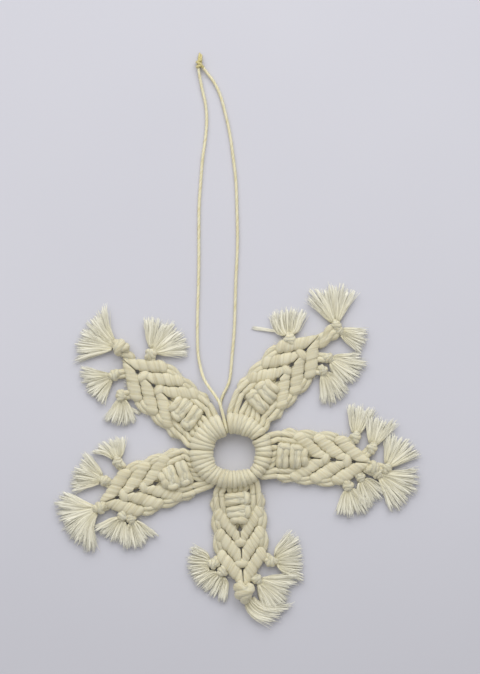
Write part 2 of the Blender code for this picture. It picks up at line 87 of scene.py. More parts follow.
# Each arm's first and last degree on the ring, and each of its tassels: where the fan starts,
# to the arm's left and beyond the last row's tip, the way it points, anticlockwise from straight
# out, its length, half its spread in degrees, and half its knot's width
arms = {
    "upper_right": (31, 98, {
        "lower_side": (-12.0, -5.2, -109, 11.8, 25, 1.7),
        "middle_side": (-10.4, 0.8, -77, 12.0, 36, 1.7),
        "end_side": (-6.2, 11.0, -70, 10.2, 20, 1.5),
        "end": (-0.4, 12.2, 52, 14.1, 43, 2.0),
        "upper_side": (8.9, -2.9, 52, 9.8, 27, 2.3),
    }),
    "upper_left": (111, 175, {
        "upper_side": (-10.6, -2.5, -90, 12.4, 54, 1.9),
        "end": (-1.4, 10.8, 20, 14.2, 52, 3.1),
        "lower_end_side": (8.8, 3.5, 68, 10.6, 48, 1.8),
        "lower_side": (12.4, -5.9, 132, 9.8, 32, 1.8),
    }),
    "left": (177.5, 241, {
        "upper_side": (-14.4, -8.0, -97, 8.1, 46, 1.7),
        "upper_end_side": (-8.9, 0.8, -42, 11.4, 38, 1.8),
        "end": (1.6, 6.8, 4, 14.5, 68, 2.5),
        "lower_end_side": (8.6, -1.0, 40, 9.6, 40, 1.8),
        "lower_side": (11.4, -5.4, 92, 9.6, 32, 1.7),
    }),
    "lower": (243.5, 313, {
        "left_side": (-12.9, -6.1, -94, 8.6, 30, 1.8),
        "left_end_side": (-8.8, -1.1, -38, 9.6, 30, 1.8),
        "end": (2.0, 8.7, 25, 15.0, 16, 3.9),
        "right_end_side": (6.8, 2.2, 52, 13.2, 44, 1.7),
        "right_side": (13.2, -5.8, 100, 11.0, 40, 1.8),
    }),
    "right": (315.5, 388.5, {
        "lower_side": (-11.2, -3.6, -70, 10.5, 36, 1.8),
        "lower_end_side": (-7.3, 1.2, -54, 10.0, 26, 1.6),
        "lower_end": (-4.7, 7.9, -27, 14.5, 42, 1.8),
        "upper_end": (0.7, 10.0, 62, 11.6, 36, 1.7),
        "upper_end_side": (7.9, 3.5, 77, 11.0, 25, 1.8),
        "upper_side": (11.4, -3.2, 84, 10.6, 22, 1.8),
    }),
}

# How many degrees a fan bends sideways on its way out, how many its outer strands open further
# where they leave the knot, and half its width there
fan_shapes = {
    "upper_right_lower_side": (-4, 25, 1.6),
    "upper_right_middle_side": (0, 30, 1.7),
    "upper_right_upper_side": (-12, 55, 2.2),
    "upper_left_upper_side": (0, 40, 2.0),
    "upper_left_end": (-13, 20, 1.9),
    "upper_left_lower_side": (-10, 25, 1.6),
    "left_upper_side": (27, 25, 1.6),
    "left_upper_end_side": (6, 30, 1.7),
    "left_end": (11, 15, 1.7),
    "left_lower_end_side": (0, 35, 1.8),
    "left_lower_side": (0, 35, 1.7),
    "lower_left_side": (0, 60, 2.1),
    "lower_left_end_side": (0, 60, 2.2),
    "lower_end": (57, 12, 1.9),
    "lower_right_end_side": (0, 30, 1.7),
    "lower_right_side": (0, 50, 2.1),
    "right_lower_side": (0, 35, 1.7),
    "right_lower_end_side": (0, 40, 1.8),
}

# The loop's two strands from the ring to the knot: right, up from the ring's middle, height
left_strand = [
    (-4.15, 16.05, 6.15), (-4.8, 18.2, 6.0), (-6.2, 20.4, 5.1), (-10.2, 26.2, 2.6),
    (-12.0, 32.0, 1.3), (-12.8, 38.0, 0.7), (-12.9, 48.0, 0.65), (-12.6, 59.0, 0.65),
    (-12.4, 70.0, 0.65), (-12.4, 80.0, 0.65), (-12.3, 90.0, 0.65), (-11.7, 99.0, 0.65),
    (-11.0, 107.5, 0.65), (-9.9, 115.5, 0.65), (-9.5, 121.5, 0.65), (-9.9, 127.3, 0.65),
    (-11.2, 133.1, 0.75), (-12.2, 138.3, 1.0), (-12.6, 140.9, 1.3),
]
right_strand = [
    (-4.17, 16.1, 0.85), (-4.4, 18.0, 0.8), (-3.6, 20.6, 0.7), (-1.2, 26.0, 0.65),
    (-0.2, 34.7, 0.65), (0.7, 46.5, 0.65), (1.2, 63.0, 0.65), (1.6, 70.6, 0.65),
    (1.8, 78.8, 0.65), (1.6, 89.1, 0.65), (1.2, 99.4, 0.65), (0.2, 108.1, 0.65),
    (-0.9, 115.8, 0.65), (-2.4, 123.0, 0.65), (-4.5, 130.7, 0.65), (-7.0, 135.8, 0.75),
    (-9.7, 139.3, 1.0), (-10.8, 140.9, 1.3),
]


def linear(code):
    """An sRGB hex colour as linear red, green, blue and alpha."""
    shares = [int(code[i:i + 2], 16) / 255 for i in (1, 3, 5)]
    shares = [s / 12.92 if s <= 0.04045 else ((s + 0.055) / 1.055) ** 2.4 for s in shares]
    return (*shares, 1)


def linked(made):
    """Puts an object in the scene."""
    bpy.context.scene.collection.objects.link(made)
    return made


# Camera, light and floor, in metres


def camera():
    """Looks straight down from far off, as the photograph does. The photograph's height covers
    246.7 mm of the surface, and its middle lies 42 mm above the ring's."""
    covered = 0.2467
    distance = 0.9
    sensor = 36
    lens = bpy.data.cameras.new("camera")
    lens.sensor_fit = "VERTICAL"
    lens.sensor_height = sensor
    lens.lens = sensor * distance / covered
    holder = linked(bpy.data.objects.new("camera", lens))
    holder.location = (0.0005, 0.0428, 0.003 + distance)
    bpy.context.scene.camera = holder


def lamp(name, place, target, size, watts):
    """A round, soft, white lamp."""
    light = bpy.data.lights.new(name, "AREA")
    light.shape = "DISK"
    light.size = size
    light.energy = watts
    holder = linked(bpy.data.objects.new(name, light))
    holder.location = place
    aim = Vector(target) - Vector(place)
    holder.rotation_euler = aim.to_track_quat("-Z", "Y").to_euler()


def add(tree, kind, settings=None, inputs=None):
    """Adds a node, sets its properties, and links its inputs or sets their values."""
    made = tree.nodes.new(kind)
    for key, value in (settings or {}).items():
        setattr(made, key, value)
    for key, value in (inputs or {}).items():
        if isinstance(value, bpy.types.NodeSocket):
            tree.links.new(value, made.inputs[key])
        else:
            made.inputs[key].default_value = value
    return made


def surface(name, rough, sheen=0.0):
    """A material with its tree and its Principled shader."""
    made = bpy.data.materials.new(name)
    made.use_nodes = True
    shader = made.node_tree.nodes["Principled BSDF"]
    shader.inputs["Roughness"].default_value = rough
    shader.inputs["Specular IOR Level"].default_value = 0.3
    shader.inputs["Sheen Weight"].default_value = sheen
    shader.inputs["Sheen Roughness"].default_value = 0.5
    shader.inputs["Subsurface Scale"].default_value = 1.0 * mm
    return made, made.node_tree, shader


def yarn(name, light, dark, lines, stretch, rough=0.9, sheen=0.2, bump=0.12, soft=0.5, tip=None):
    """Fibres that run along a cord: fine lines round it, long along it, darker between them.
    UV gives the share round the cord and the millimetres along it, tone a value per cord, tip
    the share of the way to its end. A single fibre is some hundredths of a millimetre thick, too
    fine to show, so each line stands for a bundle a few tenths wide."""
    made, tree, shader = surface(name, rough, sheen)
    shader.inputs["Subsurface Weight"].default_value = soft
    shader.inputs["Subsurface Radius"].default_value = (1.0, 0.9, 0.7)

    def maths(operation, *values):
        settings = {"operation": operation}
        return add(tree, "ShaderNodeMath", settings, dict(enumerate(values))).outputs[0]

    uv = add(tree, "ShaderNodeUVMap", {"uv_map": "UVMap"})
    parts = add(tree, "ShaderNodeSeparateXYZ", inputs={0: uv.outputs[0]})
    tone = add(tree, "ShaderNodeAttribute", {"attribute_name": "tone"}).outputs["Fac"]
    turn = maths("MULTIPLY", parts.outputs[0], 2 * math.pi)
    # Each cord reads its own stretch of the pattern
    along = maths("MULTIPLY_ADD", parts.outputs[1], stretch, maths("MULTIPLY", tone, 40.0))
    place = add(tree, "ShaderNodeCombineXYZ",
                inputs={0: maths("COSINE", turn), 1: maths("SINE", turn), 2: along})
    fine = add(tree, "ShaderNodeTexNoise", {"noise_dimensions": "3D"},
               {"Vector": place.outputs[0], "Scale": lines, "Detail": 3.0, "Roughness": 0.62})
    ramp = add(tree, "ShaderNodeValToRGB", inputs={0: fine.outputs[0]})
    for stop, position, code in zip(ramp.color_ramp.elements, (0.34, 0.56), (dark, light)):
        stop.position = position
        stop.color = linear(code)
    colour = ramp.outputs[0]
    # Painted highlight: towards a strand's end its colour turns to the tip colour, where loose
    # fibres catch the light
    if tip:
        tip_highlight = add(tree, "ShaderNodeAttribute", {"attribute_name": "tip"})
        colour = add(tree, "ShaderNodeMix", {"data_type": "RGBA"},
                     {0: tip_highlight.outputs["Fac"], 6: colour, 7: linear(tip)}).outputs[2]
    level = add(tree, "ShaderNodeMapRange", inputs={0: tone, 3: 0.95, 4: 1.04})
    tint = add(tree, "ShaderNodeHueSaturation",
               inputs={"Color": colour, "Value": level.outputs[0]})
    relief = add(tree, "ShaderNodeBump",
                 inputs={"Height": fine.outputs[0], "Strength": 0.7, "Distance": bump * mm})
    tree.links.new(tint.outputs[0], shader.inputs["Base Color"])
    tree.links.new(relief.outputs[0], shader.inputs["Normal"])
    return made


# Combed cotton: matt, cream, with fibres that run along each cord and darker grooves
cotton = yarn("combed_cotton", "#DED8BE", "#CDC5A7", lines=1.6, stretch=0.05, bump=0.19, soft=0.35)
# The same cotton frayed out, with a painted highlight: paler towards the tips, where single fibres
# catch the light
frayed = yarn("frayed_cotton", "#ECE7CF", "#D3CCA6", lines=0.9, stretch=0.05, soft=0, tip="#EFEDE0")
# The ring's core: the same cotton laid in a thicker, tighter cord, hidden under the hitches
core_cotton = yarn("core_cotton", "#D3C9A8", "#A89C78", lines=2.6, stretch=0.2)
# Waxed polyester twine: pale gold, smoother than the cotton, with a soft shine on its plies
twine = yarn("waxed_twine", "#EEE7C8", "#D8CFA4", lines=1.0, stretch=0.15, rough=0.55, sheen=0.1)
# The same twine drawn tight in its knot: a deeper gold, because its plies lie closer
tight_twine = yarn("tight_waxed_twine", "#D8CC93", "#BAAD70", lines=1.0, stretch=0.15, rough=0.55,
                   sheen=0.1, soft=0)


def painted_board():
    """Matt painted board: pale cool grey, with a faint unevenness that only close views show,
    and painted shade, a little darker away from the window, where its light falls off."""
    made, tree, shader = surface("painted_board", 0.8)
    place = add(tree, "ShaderNodeTexCoord").outputs["Object"]
    cloud = add(tree, "ShaderNodeTexNoise", inputs={"Vector": place, "Scale": 9.0, "Detail": 3.0})
    shade = add(tree, "ShaderNodeValToRGB", inputs={0: cloud.outputs[0]})
    for stop, code in zip(shade.color_ramp.elements, ("#CFCFD8", "#D6D6DE")):
        stop.color = linear(code)
    parts = add(tree, "ShaderNodeSeparateXYZ", inputs={0: place})
    # Painted shade: the colour darkens towards -Y, away from the window, where its light falls off
    near = add(tree, "ShaderNodeMapRange", {"interpolation_type": "SMOOTHSTEP"},
               {0: parts.outputs[1], 1: -0.1, 2: 0.03, 3: 0.92, 4: 1.0})
    tint = add(tree, "ShaderNodeHueSaturation",
               inputs={"Color": shade.outputs[0], "Value": near.outputs[0]})
    tree.links.new(tint.outputs[0], shader.inputs["Base Color"])
    return made


def surroundings():
    """The board that the snowflake lies on, two soft lamps and the room's own light."""
    shape = bmesh.new()
    bmesh.ops.create_grid(shape, x_segments=1, y_segments=1, size=8.0)
    mesh = bpy.data.meshes.new("table_top")
    shape.to_mesh(mesh)
    shape.free()
    mesh.materials.append(painted_board())
    board = linked(bpy.data.objects.new("table_top", mesh))
    lamp("window", (0.26, 0.8, 0.7), (0, 0.03, 0), 0.85, 4.6)
    lamp("fill", (-0.4, 0.75, 0.85), (0, 0.03, 0), 1.3, 6)
    world = bpy.data.worlds.new("room")
    world.use_nodes = True
    back = world.node_tree.nodes["Background"]
    back.inputs["Color"].default_value = linear("#F2F1F0")
    back.inputs["Strength"].default_value = 0.54
    bpy.context.scene.world = world


camera()
surroundings()
bpy.context.scene.view_settings.view_transform = "Standard"


# Cords: every piece is an outline swept along routes

Route = namedtuple("Route", "points widths closed turns")
# The length in which a cord turns once round itself, and the same for the thread
cord_twist = 14
thread_twist = 5


def route(points, widths, closed=False, turns=0.0):
    """Points in mm, one half width or a half width for each, and the cord's twist in turns."""
    points = [Vector(point) for point in points]
    if not isinstance(widths, (list, tuple)):
        widths = [widths] * len(points)
    return Route(points, list(widths), closed, turns)


def length_of(points):
    """The length of the way through the points."""
    return sum((Vector(b) - Vector(a)).length for a, b in zip(points, points[1:]))


def tapered(points, half, ends=0.35):
    """A cord whose two ends are rounded off, down to a share of its half width."""
    widths = [half] * len(points)
    widths[0] = widths[-1] = half * ends
    widths[1] = widths[-2] = half * 0.85
    return route(points, widths, turns=length_of(points) / cord_twist)


def polar(angle, radius, height=0.0):
    """The point at an angle and a distance from the middle."""
    turn = math.radians(angle)
    return Vector((radius * math.cos(turn), radius * math.sin(turn), height))


def circle(count):
    """The angles, in radians, of evenly spaced points on a circle."""
    return [2 * math.pi * i / count for i in range(count)]


def smooth_route(points, count):
    """Evenly spaced points on a smooth curve through given ones."""
    parts = 20
    knots = [Vector(point) for point in points]
    knots = [2 * knots[0] - knots[1]] + knots + [2 * knots[-1] - knots[-2]]
    fine = []
    for a, b, c, d in zip(knots, knots[1:], knots[2:], knots[3:]):
        for i in range(parts):
            t = i / parts
            fine.append(0.5 * (2 * b + (c - a) * t + (2 * a - 5 * b + 4 * c - d) * t * t
                               + (3 * b - a - 3 * c + d) * t * t * t))
    fine.append(knots[-2])
    travelled = [0.0]
    for before, after in zip(fine, fine[1:]):
        travelled.append(travelled[-1] + (after - before).length)
    spaced = []
    j = 0
    for i in range(count):
        wanted = travelled[-1] * i / (count - 1)
        while j < len(fine) - 2 and travelled[j + 1] < wanted:
            j += 1
        share = (wanted - travelled[j]) / (travelled[j + 1] - travelled[j])
        spaced.append(fine[j].lerp(fine[j + 1], share))
    return spaced


def section(name, corners):
    """A flat closed line to sweep along routes, about one unit to each side."""
    line = bpy.data.curves.new(name, "CURVE")
    line.dimensions = "2D"
    spline = line.splines.new("POLY")
    spline.points.add(len(corners) - 1)
    spline.use_cyclic_u = True
    for place, corner in zip(spline.points, corners):
        place.co = (*corner, 0, 1)
    return linked(bpy.data.objects.new(name, line))


def cord_section(name, ridges, groove):
    """A cord's section, with a groove between its yarns."""
    count = 2 * ridges
    corners = []
    for i in range(count):
        turn = -2 * math.pi * i / count
        reach = 1.0 - groove * (i % 2)
        corners.append((reach * math.cos(turn), reach * math.sin(turn)))
    return section(name, corners)


def roll_section(name, count=20, height=0.75, fullness=0.85):
    """A row's section: lower than wide, and fuller than an oval."""
    corners = []
    for i in range(count):
        turn = -math.pi / 2 - 2 * math.pi * i / count
        aside, rise = math.cos(turn), math.sin(turn)
        corners.append((math.copysign(abs(aside) ** fullness, aside),
                        height * math.copysign(abs(rise) ** fullness, rise)))
    return section(name, corners)


cord_outline = cord_section("cord_outline", 5, 0.05)
fibre_outline = cord_section("fibre_outline", 3, 0.0)
twine_outline = cord_section("twine_outline", 3, 0.16)
roll_outline = roll_section("roll_outline")

# A row's leg is a roll with a lump for each hitch, and each lump has this many points
lump_steps = 9
# On a roll the yarn's pattern runs round it, and comes again along it after this many mm
roll_repeat = 7


def tubes(name, routes, outline, into):
    """Tubes along the routes, with open ends, in world metres."""
    line = bpy.data.curves.new(name, "CURVE")
    line.dimensions = "3D"
    line.bevel_mode = "OBJECT"
    line.bevel_object = outline
    for way in routes:
        spline = line.splines.new("POLY")
        spline.points.add(len(way.points) - 1)
        spline.use_cyclic_u = way.closed
        steps = len(way.points) if way.closed else len(way.points) - 1
        for i, place in enumerate(spline.points):
            place.co = (*(into @ (way.points[i] * mm)), 1)
            place.radius = way.widths[i] * mm
            place.tilt = 2 * math.pi * way.turns * i / steps
    helper = linked(bpy.data.objects.new(name + "_line", line))
    graph = bpy.context.evaluated_depsgraph_get()
    mesh = bpy.data.meshes.new_from_object(helper.evaluated_get(graph))
    mesh.name = name
    bpy.data.objects.remove(helper)
    bpy.data.curves.remove(line)
    return mesh


def mark(mesh, routes, sides, girth, draw):
    """Writes each point's tone and tip, and the UV, for the yarn materials to read."""
    tones, tips, lengths = [], [], []
    for way in routes:
        count = len(way.points)
        tone = draw.random()
        for i in range(count):
            if girth and i % lump_steps == 0:
                tone = draw.random()
            tones += [tone] * sides
        tips += [i / (count - 1) for i in range(count) for _ in range(sides)]
        ends = way.points + way.points[:1] if way.closed else way.points
        lengths += [length_of(ends)] * (len(ends) - 1) * sides
    for key, values in (("tone", tones), ("tip", tips)):
        mesh.attributes.new(key, "FLOAT", "POINT").data.foreach_set("value", values)
    uv = mesh.uv_layers["UVMap"].data
    for face, length in zip(mesh.polygons, lengths):
        for corner in face.loop_indices:
            along, around = uv[corner].uv
            if girth:
                uv[corner].uv = (along * length / roll_repeat, around * girth)
            else:
                uv[corner].uv = (around, along * length)


def swept(name, routes, outline, into, lowest=0.0, reshape=None, girth=0.0):
    """A mesh of closed tubes along the routes, in world metres, flat where it lies on the floor.
    Reshape moves a point in the routes' own frame. With a girth in mm the yarn runs round the
    outline instead of along it, and each lump along it gets a tone of its own."""
    mesh = tubes(name, routes, outline, into)
    sides = len(outline.data.splines[0].points)
    mark(mesh, routes, sides, girth, random.Random(name))
    shape = bmesh.new()
    shape.from_mesh(mesh)
    bmesh.ops.holes_fill(shape, edges=shape.edges, sides=0)
    bmesh.ops.recalc_face_normals(shape, faces=shape.faces)
    outof = into.inverted()
    for vertex in shape.verts:
        if reshape:
            vertex.co = into @ (reshape(outof @ vertex.co / mm) * mm)
        vertex.co.z = max(vertex.co.z, lowest * mm)
    shape.to_mesh(mesh)
    shape.free()
    mesh.shade_smooth()
    return mesh


def piece(name, mesh, material, body, slot, *nodes):
    """An object in the scene, on its body if it has one, in the place of the CAD's nodes."""
    made = linked(bpy.data.objects.new(name, mesh))
    mesh.materials.clear()
    mesh.materials.append(material)
    if body:
        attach(made, body)
    if nodes:
        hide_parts(*nodes)
    return made


# The hanging loop

low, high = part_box("core_ring")
ring_middle = (low + high) / 2
on_ring = Matrix.Translation(ring_middle)
on_floor = Matrix.Translation((ring_middle.x, ring_middle.y, 0))
ring_height = ring_middle.z / mm

# The turns of the loop's knot: each one's lean, its place along the thread and its size
loop_knot_turns = ((30, 0.95, 0.92), (-36, 0.05, 1.12), (24, -0.85, 0.95))
# Its two cut ends, side by side: each one's place to the right, its slant and its length
loop_knot_ends = ((-0.4, 0.12, 4.1), (0.42, 0.06, 3.5))
# Points along each of the loop's strands
loop_points = 160


def core_path(angle):
    """How far out the middle of the ring's core runs: it is a little oval."""
    return core_radius + core_oval * math.cos(math.radians(2 * angle))


def bight_route():
    """Round the ring's core in the gap between two arms' hitches, from below to above."""
    gap = 0.3
    around = core_half + gap + thread_half
    out = core_path(thread_angle)
    points = [polar(thread_angle, out + bight_leg, ring_height - around)]
    for degrees in range(270, 89, -12):
        turn = math.radians(degrees)
        points.append(polar(thread_angle, out + around * math.cos(turn),
                            ring_height + around * math.sin(turn)))
    points.append(polar(thread_angle, out + bight_leg, ring_height + around))
    return points


def loop_knot():
    """The knot that closes the loop. It lies where the photograph has it, a little to the left
    of the middle of the CAD's body and near its lower end, and both strands run on into it."""
    knot_low, knot_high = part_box("hanger_knot")
    middle = (knot_low + knot_high) / 2
    at_knot = Vector(((middle.x - ring_middle.x) / mm - 0.4,
                      (knot_low.y - ring_middle.y) / mm + 0.9, 1.4))
    ties = []
    for tilt, shift, size in loop_knot_turns:
        seat = at_knot + Vector((-0.15, shift, 0))
        across = polar(tilt, 0.85 * size)
        loop = [seat + across * math.cos(turn) + up * 0.75 * size * math.sin(turn)
                for turn in circle(20)]
        ties.append(route(loop, 0.58, closed=True, turns=1))
    for aside, slant, reach in loop_knot_ends:
        cut_end = [at_knot + Vector((aside + slant * reach * s, reach * s, -0.75 * s))
                   for s in (0, 0.2, 0.4, 0.6, 0.8, 0.93, 1)]
        ties.append(route(cut_end, [0.5, 0.55, 0.55, 0.52, 0.47, 0.38, 0.2], turns=1))
    for strand in (left_strand, right_strand):
        last = Vector(strand[-1])
        onward = (at_knot - last).normalized()
        entry = [last - onward * 0.3, last, last.lerp(at_knot, 0.5), at_knot]
        ties.append(route(entry, [0.5, 0.65, 0.63, 0.6], turns=0.2))
    return piece("thread_knot", swept("thread_knot", ties, twine_outline, on_floor), tight_twine,
                 "hanger", "hanging_thread", "hanger_knot")


def hanging_loop():
    """The doubled thread: its knot, and its two strands."""
    knot = loop_knot()
    long_way = bight_route() + smooth_route(left_strand, loop_points)
    short_way = smooth_route(right_strand, loop_points)
    for name, way, nodes in (
        ("thread_left", long_way, ("hanger_bight", "hanger_thread_left")),
        ("thread_right", short_way, ("hanger_thread_right",)),
    ):
        twisted = route(way, thread_half, turns=length_of(way) / thread_twist)
        strand = piece(name, swept(name, [twisted], twine_outline, on_floor), twine, "hanger",
                       "hanging_thread", *nodes)


hanging_loop()


# The ring

# Where the ring's hole is wider than an oval: the angle, how many degrees that takes, how many mm
hole_corners = ((90, 32, 0.8), (38, 14, 0.7), (142, 14, 0.7), (222, 15, 0.8), (318, 15, 0.9))
# A wrap's half width inside the ring, and how much wider it is outside, where wraps have more room
wrap_inside = 0.88
wrap_widening = 0.66


def core():
    """The loop of cord that the hitches hide."""
    points = [polar(angle, core_path(angle)) for angle in range(0, 360, 6)]
    ways = [route(points, core_half, closed=True, turns=6)]
    mesh = swept("core_cord", ways, cord_outline, on_ring)
    piece("core_cord", mesh, core_cotton, "ring", "core_cord", "core_ring")


def lean(angle):
    """How much wider the wraps are here than usual: the ring is uneven."""
    return wrap_lean * math.cos(math.radians(angle - lean_angle))


def ring_edge(angle):
    """How far out the wraps reach."""
    return core_path(angle) + wrap_half + lean(angle)


def trim(angle):
    """How much the ring's hole is wider here than an oval."""
    total = 0.0
    for corner, reach, depth in hole_corners:
        off = (angle - corner + 180) % 360 - 180
        total += depth * math.exp(-(off / reach) ** 2)
    return total


def wrap(angle, draw):
    """One wrap round the ring's core."""
    radial, aside = polar(angle, 1), polar(angle + 90, 1)
    half = wrap_half + lean(angle) + draw.uniform(-0.15, 0.1)
    tall = wrap_half * draw.uniform(0.93, 0.98)
    skew = draw.uniform(-0.25, 0.25)
    points, widths = [], []
    for turn in circle(18):
        share = (1 + math.cos(turn)) / 2
        wide = wrap_inside + (wrap_widening + 0.06 * lean(angle)) * share ** 0.8
        widths.append(wide * draw.uniform(0.97, 1.03))
        out = core_path(angle) + (half - wide) * math.cos(turn) + trim(angle) * (1 - share)
        points.append(radial * out + up * (tall - wide) * math.sin(turn)
                      + aside * skew * math.sin(turn))
    return route(points, widths, closed=True, turns=draw.choice((0, 1, 1)))


def wraps(arm, start, end):
    """The hitches of an arm's four folded cords: eight wraps, two and two closer together."""
    draw = random.Random(arm + " wraps")
    pitch = (end - start) / wraps_per_arm
    ways = []
    for i in range(wraps_per_arm):
        pair = 0.06 if i % 2 == 0 else -0.06
        angle = start + (i + 0.5 + pair + draw.uniform(-0.05, 0.05)) * pitch
        ways.append(wrap(angle, draw))
    name = arm + "_ring_wraps"
    mesh = swept(name, ways, cord_outline, on_ring)
    piece(name, mesh, cotton, "ring", "cotton_cord", arm + "_ring_hitches")


core()
for arm, (start, end, _) in arms.items():
    wraps(arm, start, end)


# The arms

slope = math.radians(row_rise)
floor_level = -fold_height
# Heights of middle lines: of a strand that lies on the floor, of the square knots, of a row
strand_level = floor_level + strand_half
knot_level = floor_level + 2.4
row_level = floor_level + row_height

# The eight strands' places across the arm, where they leave the ring
strand_places = (7.8, 5.7, 2.5, 0.9, -0.9, -2.5, -5.7, -7.8)

# Square knots: each bar's place along the arm, its reach to the sides, its half width, and
# whether it lies between two others, sunk and with nothing under it
knot_bars = (
    (1.6, 4.5, 1.4, False), (2.65, 4.5, 1.4, True), (3.7, 4.6, 1.4, False),
    (6.25, 4.3, 1.35, False), (7.25, 4.2, 1.35, True), (8.3, 4.05, 1.4, False),
    (10.4, 2.9, 1.55, False),
)
# The loops where a knot's cord turns back: each one's place along the arm, its side, its reach
knot_loops = ((2.9, -1, 1.5), (7.8, -1, 1.45))

# A row's legs: half the width of a leg, the way round it, its hitches and how they slant, the
# distances from the arm's middle between which it runs, and how its first points close its end
roll_half = 2.46
roll_girth = 13.0
roll_lumps = 4
roll_lean = math.radians(19)
leg_from = 8.6
leg_to = -1.0
leg_closing = (0.3, 0.58, 0.76, 0.88, 0.96)
# From a row's tip back to the middle of the hole inside it
gap_back = 3.05
# Radius of that hole in each of an arm's rows, counted from the ring
gap_halves = {
    "upper_right": (1.0, 0.95, 0.5),
    "upper_left": (0.7, 0.7, 0.8),
    "left": (1.15, 1.2, 0.7),
    "lower": (1.25, 0.35, 0.35),
    "right": (0.5, 1.1, 0.7),
}


def arm_frame(arm):
    """From an arm's own frame, on its fold's axis, to the world's."""
    for joint in frame["joints"]:
        if joint["child"] == arm + "_arm":
            right = Vector(joint["axis"]).normalized()
            made = Matrix((right, up.cross(right), up)).transposed().to_4x4()
            made.translation = Vector(joint["pos_m"])
            return made


def tip_of(row):
    """How far out a row's tip is."""
    return row_tip + row * row_pitch


def row_along(row, across):
    """How far out a row's middle line is, at this distance from the arm's middle."""
    return tip_of(row) - (across - row_meet) * math.tan(slope)


def row_axis(row, side):
    """A leg's end at the arm's edge, its end in the middle, and its outer side's direction."""
    across = edge_half + (edge_growth if row else 0)
    start = Vector((across, row_along(row, across), 0))
    length = (start.x - row_meet) / math.cos(slope)
    end = start + Vector((-math.cos(slope), math.sin(slope), 0)) * length
    mirror = Vector((side, 1, 1))
    return start * mirror, end * mirror, Vector((math.sin(slope), math.cos(slope), 0)) * mirror


def mirrored(side, points):
    """The points on the arm's right side, 1, or its left, -1."""
    return [(side * x, y, z) for x, y, z in points]


def root_strands(arm, start, end, into):
    """The eight cord ends that leave the ring's hitches for the arm, bent at the fold."""
    draw = random.Random(arm + " root strands")
    from_ring = into.inverted() @ on_ring
    ways = []
    for i, across in enumerate(strand_places):
        angle = start + (i + 0.5) * (end - start) / wraps_per_arm
        inner = from_ring @ (polar(angle, ring_edge(angle) - 1.6, -0.6) * mm) / mm
        outer = from_ring @ (polar(angle, ring_edge(angle) + 0.2, -0.7) * mm) / mm
        rise = -0.1 if abs(across) > 4 else -0.5
        line = [inner, outer, (across, 0.2, rise), (across, 1.4, rise + 0.1), (across, 2.0, rise)]
        half = strand_half * draw.uniform(0.96, 1.04)
        ways.append(tapered(smooth_route(line, 14), half, 0.6))
    name = arm + "_root_strands"
    made = piece(name, swept(name, ways, cord_outline, into), cotton, None, "cotton_cord")
    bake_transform(made)


def knotted_cords():
    """The four cords that the square knots are tied round, and one at each side of them."""
    ways = []
    for across in (-2.4, -0.8, 0.8, 2.4):
        line = [(across, 0.4, knot_level - 0.7), (across, 2.4, knot_level - 0.4),
                (across * 0.9, 7.6, knot_level - 0.4), (across * 0.6, 10.6, knot_level - 0.9),
                (across * 1.2, 12.3, floor_level + 0.8), (across * 2.0, 14.5, floor_level + 0.9)]
        ways.append(tapered(smooth_route(line, 16), 1.05))
    for across in (-4.1, 4.1):
        line = [(across, 0.2, knot_level - 0.9), (across * 1.04, 3.0, knot_level - 1.1),
                (across, 6.5, knot_level - 1.1), (across * 0.9, 9.2, knot_level - 1.2)]
        ways.append(tapered(smooth_route(line, 12), strand_half))
    return ways


def knot_bar(along, reach, half, between, draw):
    """A cord that crosses in front of the others and bends down at both sides, a little thinner
    where the knot presses it."""
    tilt = draw.uniform(-0.35, 0.35)
    waist, pinch = draw.uniform(-0.3, 0.3), draw.uniform(0.1, 0.24)
    sunk = draw.uniform(0.1, 0.4) if between else 0
    points, widths = [], []
    for degrees in range(-30, 211, 12):
        turn = math.radians(degrees)
        side = math.cos(turn)
        dip = math.exp(-((side - waist) / 0.24) ** 2) if 0 <= degrees <= 180 else 0
        points.append(((reach - 0.9) * side, along + tilt * side + 0.25 * side * side,
                       knot_level + 0.1 - sunk - 1.2 * pinch * dip + 1.55 * math.sin(turn)))
        widths.append(half * (1 - pinch * dip))
    widths[0] = widths[-1] = 0.6 * half
    return route(points, widths, turns=length_of(points) / cord_twist)


def side_loop(along, side, reach, draw):
    """The loop in which a knot's cord turns back over the bars."""
    along += draw.uniform(-0.4, 0.4)
    reach += draw.uniform(-0.25, 0.2)
    points = []
    for degrees in range(-110, 111, 20):
        turn = math.radians(degrees)
        points.append((side * (2.35 + math.cos(turn)), along + reach * math.sin(turn),
                       knot_level + 0.75 + 0.95 * math.cos(turn)))
    return tapered(points, 1.3, 0.6)


def square_knots(arm, into):
    """The square knots: bars that cross in front, a loop at the side, and the cords below."""
    draw = random.Random(arm + " square knots")
    ways = knotted_cords()
    for along, reach, half, between in knot_bars:
        ways.append(knot_bar(along, reach, half, between, draw))
        if between:
            continue
        under = [(across * (reach - 1), along + 0.3, knot_level - 1.35 + 0.4 * abs(across))
                 for across in (-0.95, -0.5, 0, 0.5, 0.95)]
        ways.append(tapered(smooth_route(under, 9), 1.05, 0.6))
    for along, side, reach in knot_loops:
        ways.append(side_loop(along, side, reach, draw))
    name = arm + "_flat_knots"
    mesh = swept(name, ways, cord_outline, into, lowest=0.4)
    piece(name, mesh, cotton, arm + "_arm", "cotton_cord", arm + "_square_knots")


